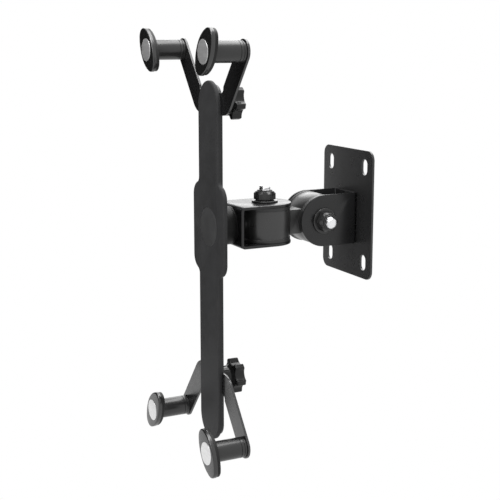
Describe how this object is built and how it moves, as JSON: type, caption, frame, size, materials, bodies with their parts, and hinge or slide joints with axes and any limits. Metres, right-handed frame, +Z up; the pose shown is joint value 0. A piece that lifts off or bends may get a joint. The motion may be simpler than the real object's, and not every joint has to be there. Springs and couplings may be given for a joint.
{
  "type": "tablet wall mount",
  "caption": "Tilting and swivelling wall arm with a turning bar, on which V-shaped brackets with padded spools slide to grip a tablet by its edges.",
  "frame": {"origin": "centre of the wall plate's back face, on the wall", "axes": "+Y goes into the wall, +Z is up, +X is to the right of someone who faces the wall; the arm reaches out along -Y"},
  "size_m": [0.1186, 0.1339, 0.2844],
  "materials": {
    "powder_coat": "satin black powder coat",
    "black_steel": "blackened steel",
    "zinc_steel": "bright zinc plate",
    "bare_steel": "brushed",
    "cover_plastic": "matte charcoal",
    "black_plastic": "satin black",
    "soft_rubber": "smooth satin",
    "nylon": "black nylon",
    "brass": "turned"
  },
  "bodies": {
    "base": {"wall_plate": "powder_coat", "wall_clevis": "powder_coat", "tilt_bolt": "zinc_steel", "tilt_nut": "black_steel", "tilt_washer": "black_steel", "tilt_friction_washers": "nylon"},
    "arm": {"knuckle": "powder_coat"},
    "head": {"holder_clevis": "powder_coat", "swivel_bolt": "zinc_steel", "swivel_nut": "black_steel", "swivel_washer": "black_steel", "swivel_friction_washers": "nylon", "pivot_nut_washer": "zinc_steel"},
    "holder": {"pivot_washer": "nylon", "pivot_hub": "powder_coat", "pivot_screw": "zinc_steel", "pivot_nut": "zinc_steel", "back_rail": "powder_coat", "centre_spacer": "black_plastic", "cover_screws": "zinc_steel", "front_cover": "cover_plastic", "centre_cap": "cover_plastic"},
    "top_carriage": {"top_arm_plate": "powder_coat", "top_clamp_bolt": "zinc_steel", "top_clamp_washer": "black_steel", "top_spool_screws": "black_steel", "top_right_sleeve": "soft_rubber", "top_right_post": "zinc_steel", "top_right_flange_pad": "soft_rubber", "top_right_flange_cap": "black_plastic", "top_right_disc": "bare_steel", "top_left_sleeve": "soft_rubber", "top_left_post": "zinc_steel", "top_left_flange_pad": "soft_rubber", "top_left_flange_cap": "black_plastic", "top_left_disc": "bare_steel"},
    "bottom_carriage": {"bottom_arm_plate": "powder_coat", "bottom_clamp_bolt": "zinc_steel", "bottom_clamp_washer": "black_steel", "bottom_spool_screws": "black_steel", "bottom_right_sleeve": "soft_rubber", "bottom_right_post": "zinc_steel", "bottom_right_flange_pad": "soft_rubber", "bottom_right_flange_cap": "black_plastic", "bottom_right_disc": "bare_steel", "bottom_left_sleeve": "soft_rubber", "bottom_left_post": "zinc_steel", "bottom_left_flange_pad": "soft_rubber", "bottom_left_flange_cap": "black_plastic", "bottom_left_disc": "bare_steel"},
    "top_knob_body": {"top_knob": "black_plastic", "top_knob_insert": "brass"},
    "bottom_knob_body": {"bottom_knob": "black_plastic", "bottom_knob_insert": "brass"}
  },
  "joints": [
    {"name": "tilt", "type": "hinge", "parent": "base", "child": "arm", "pos_m": [0, -0.028, -0.003], "axis": [1, 0, 0], "range_deg": [-40, 30]},
    {"name": "swivel", "type": "hinge", "parent": "arm", "child": "head", "pos_m": [0, -0.0672, -0.003], "axis": [0, 0, 1], "range_deg": [-90, 90]},
    {"name": "rotate", "type": "hinge", "parent": "head", "child": "holder", "pos_m": [0, -0.099, -0.003], "axis": [0, 1, 0], "continuous": true},
    {"name": "top_slide", "type": "slide", "parent": "holder", "child": "top_carriage", "axis": [0, 0, 1], "range_m": [-0.0376, 0.0014]},
    {"name": "bottom_slide", "type": "slide", "parent": "holder", "child": "bottom_carriage", "axis": [0, 0, 1], "range_m": [-0.0293, 0.0592]},
    {"name": "top_knob_turn", "type": "hinge", "parent": "top_carriage", "child": "top_knob_body", "pos_m": [0, -0.0915, 0.0796], "axis": [0, 1, 0], "continuous": true},
    {"name": "bottom_knob_turn", "type": "hinge", "parent": "bottom_carriage", "child": "bottom_knob_body", "pos_m": [0, -0.0915, -0.1092], "axis": [0, 1, 0], "continuous": true}
  ]
}
